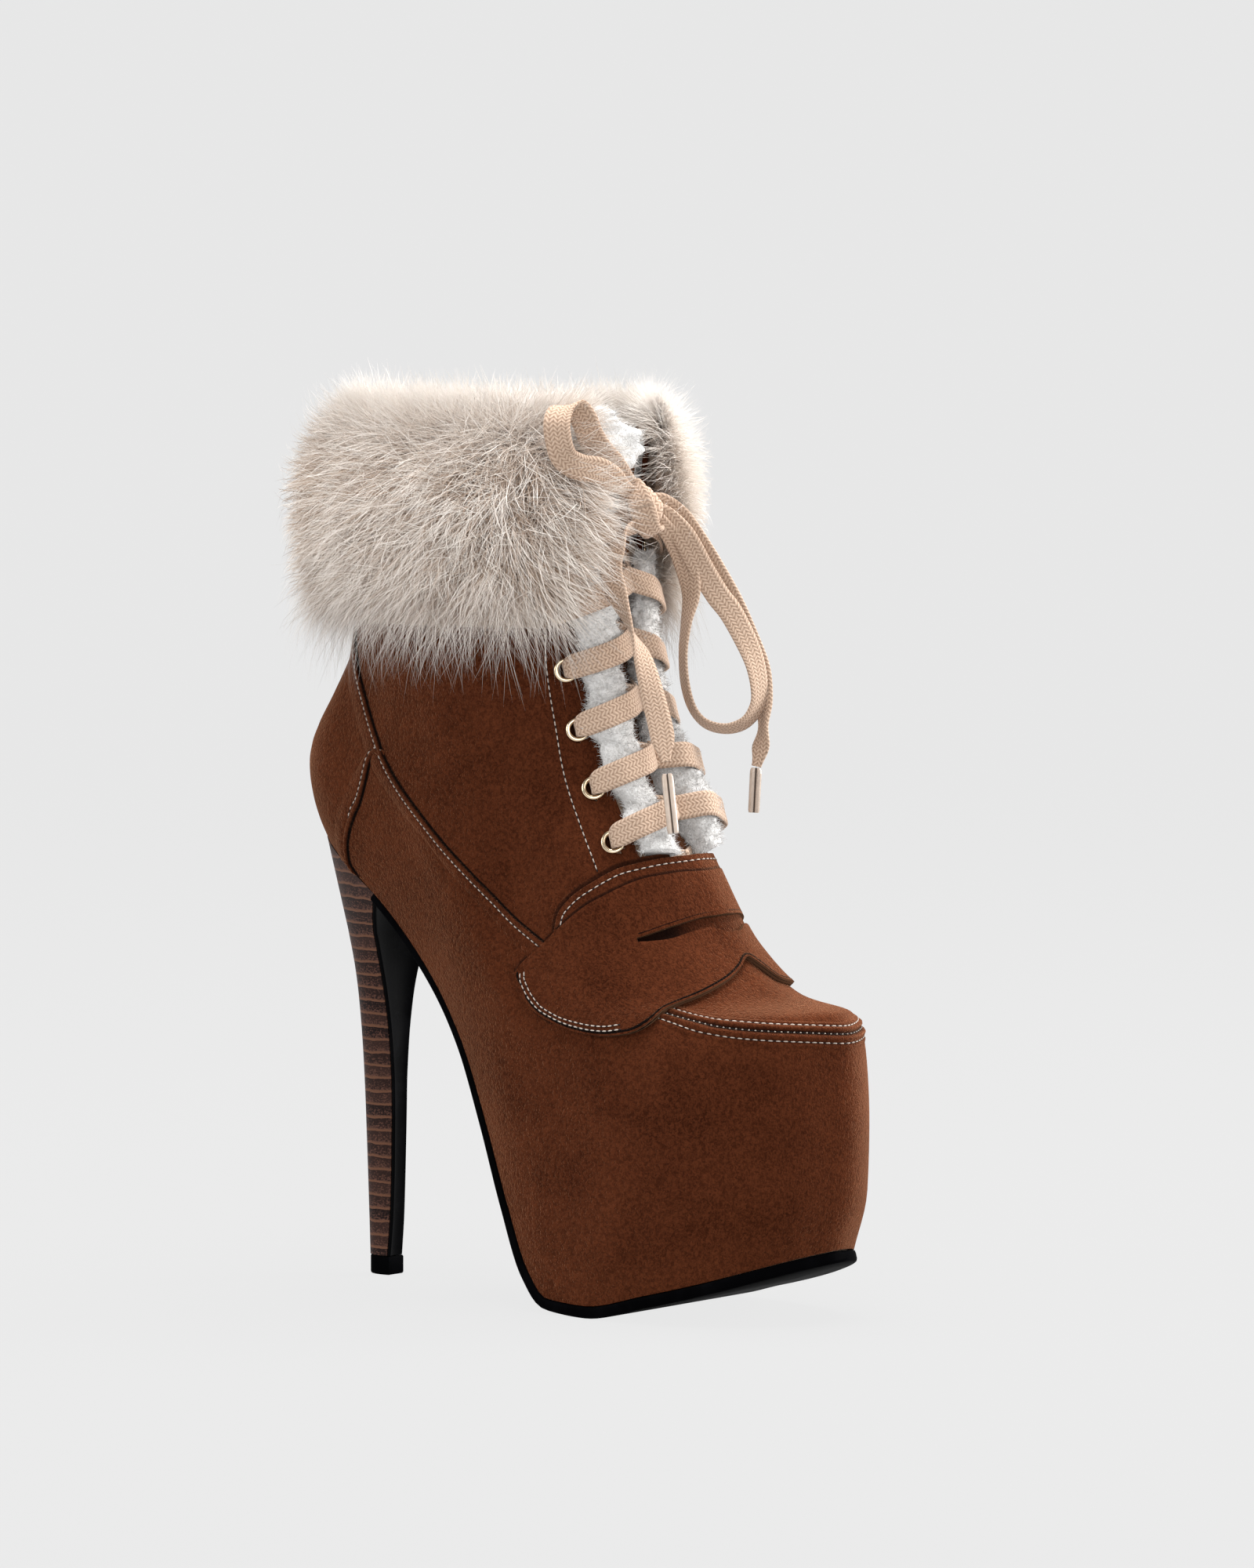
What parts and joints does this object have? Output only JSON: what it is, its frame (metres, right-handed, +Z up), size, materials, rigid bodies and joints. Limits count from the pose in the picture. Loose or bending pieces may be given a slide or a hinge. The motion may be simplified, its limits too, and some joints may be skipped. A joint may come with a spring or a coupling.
{
  "type": "platform ankle boot",
  "caption": "High-heeled platform ankle boot in brown faux suede with a deep fur cuff, a lace-up front with a bow, and a loafer strap over the vamp.",
  "frame": {"origin": "middle of the boot's own box, on the floor plane that the heel tip and the forefoot stand on", "axes": "+X toward the toe, +Y toward the inner (medial) side, +Z up"},
  "size_m": [0.2365, 0.1186, 0.3209],
  "materials": {
    "suede": "cognac brown faux suede, matte with a fine nap",
    "tongue_suede": "the same faux suede, a little darker",
    "black_rubber": "black, satin",
    "black_gloss": "black, glossy",
    "stacked_heel": "brown with the look of thin stacked layers, satin",
    "platform_core": "light foam, plain",
    "insole_pile": "off-white pile",
    "fleece": "off-white curly fleece",
    "fur": "beige faux fur with pale tips",
    "lace": "beige flat woven lace",
    "lace_tag": "clear film over the lace end",
    "eyelet_metal": "light gold, polished"
  },
  "bodies": {
    "root": {"upper": "suede", "counter": "suede", "vamp_strap": "suede", "vamp_flap": "suede", "apron_seam": "suede", "side_seam_outer": "suede", "side_seam_inner": "suede", "tongue": "tongue_suede", "outsole": "black_rubber", "top_lift": "black_rubber", "heel_breast": "black_gloss", "heel": "stacked_heel", "platform": "platform_core", "insole": "insole_pile", "fleece_outer": "fleece", "fleece_inner": "fleece", "fur_cuff": "fur", "lace_cross_1": "lace", "lace_cross_2": "lace", "lace_cross_3": "lace", "lace_cross_4": "lace", "lace_cross_5": "lace", "lace_bar": "lace", "lace_knot": "lace", "lace_loop_outer": "lace", "lace_loop_upper": "lace", "lace_end_outer": "lace", "lace_end_inner": "lace", "tag_outer": "lace_tag", "tag_inner": "lace_tag", "eyelet_outer_1": "eyelet_metal", "eyelet_outer_2": "eyelet_metal", "eyelet_outer_3": "eyelet_metal", "eyelet_outer_4": "eyelet_metal", "eyelet_outer_5": "eyelet_metal", "eyelet_outer_6": "eyelet_metal", "eyelet_inner_1": "eyelet_metal", "eyelet_inner_2": "eyelet_metal", "eyelet_inner_3": "eyelet_metal", "eyelet_inner_4": "eyelet_metal", "eyelet_inner_5": "eyelet_metal", "eyelet_inner_6": "eyelet_metal"}
  },
  "joints": []
}
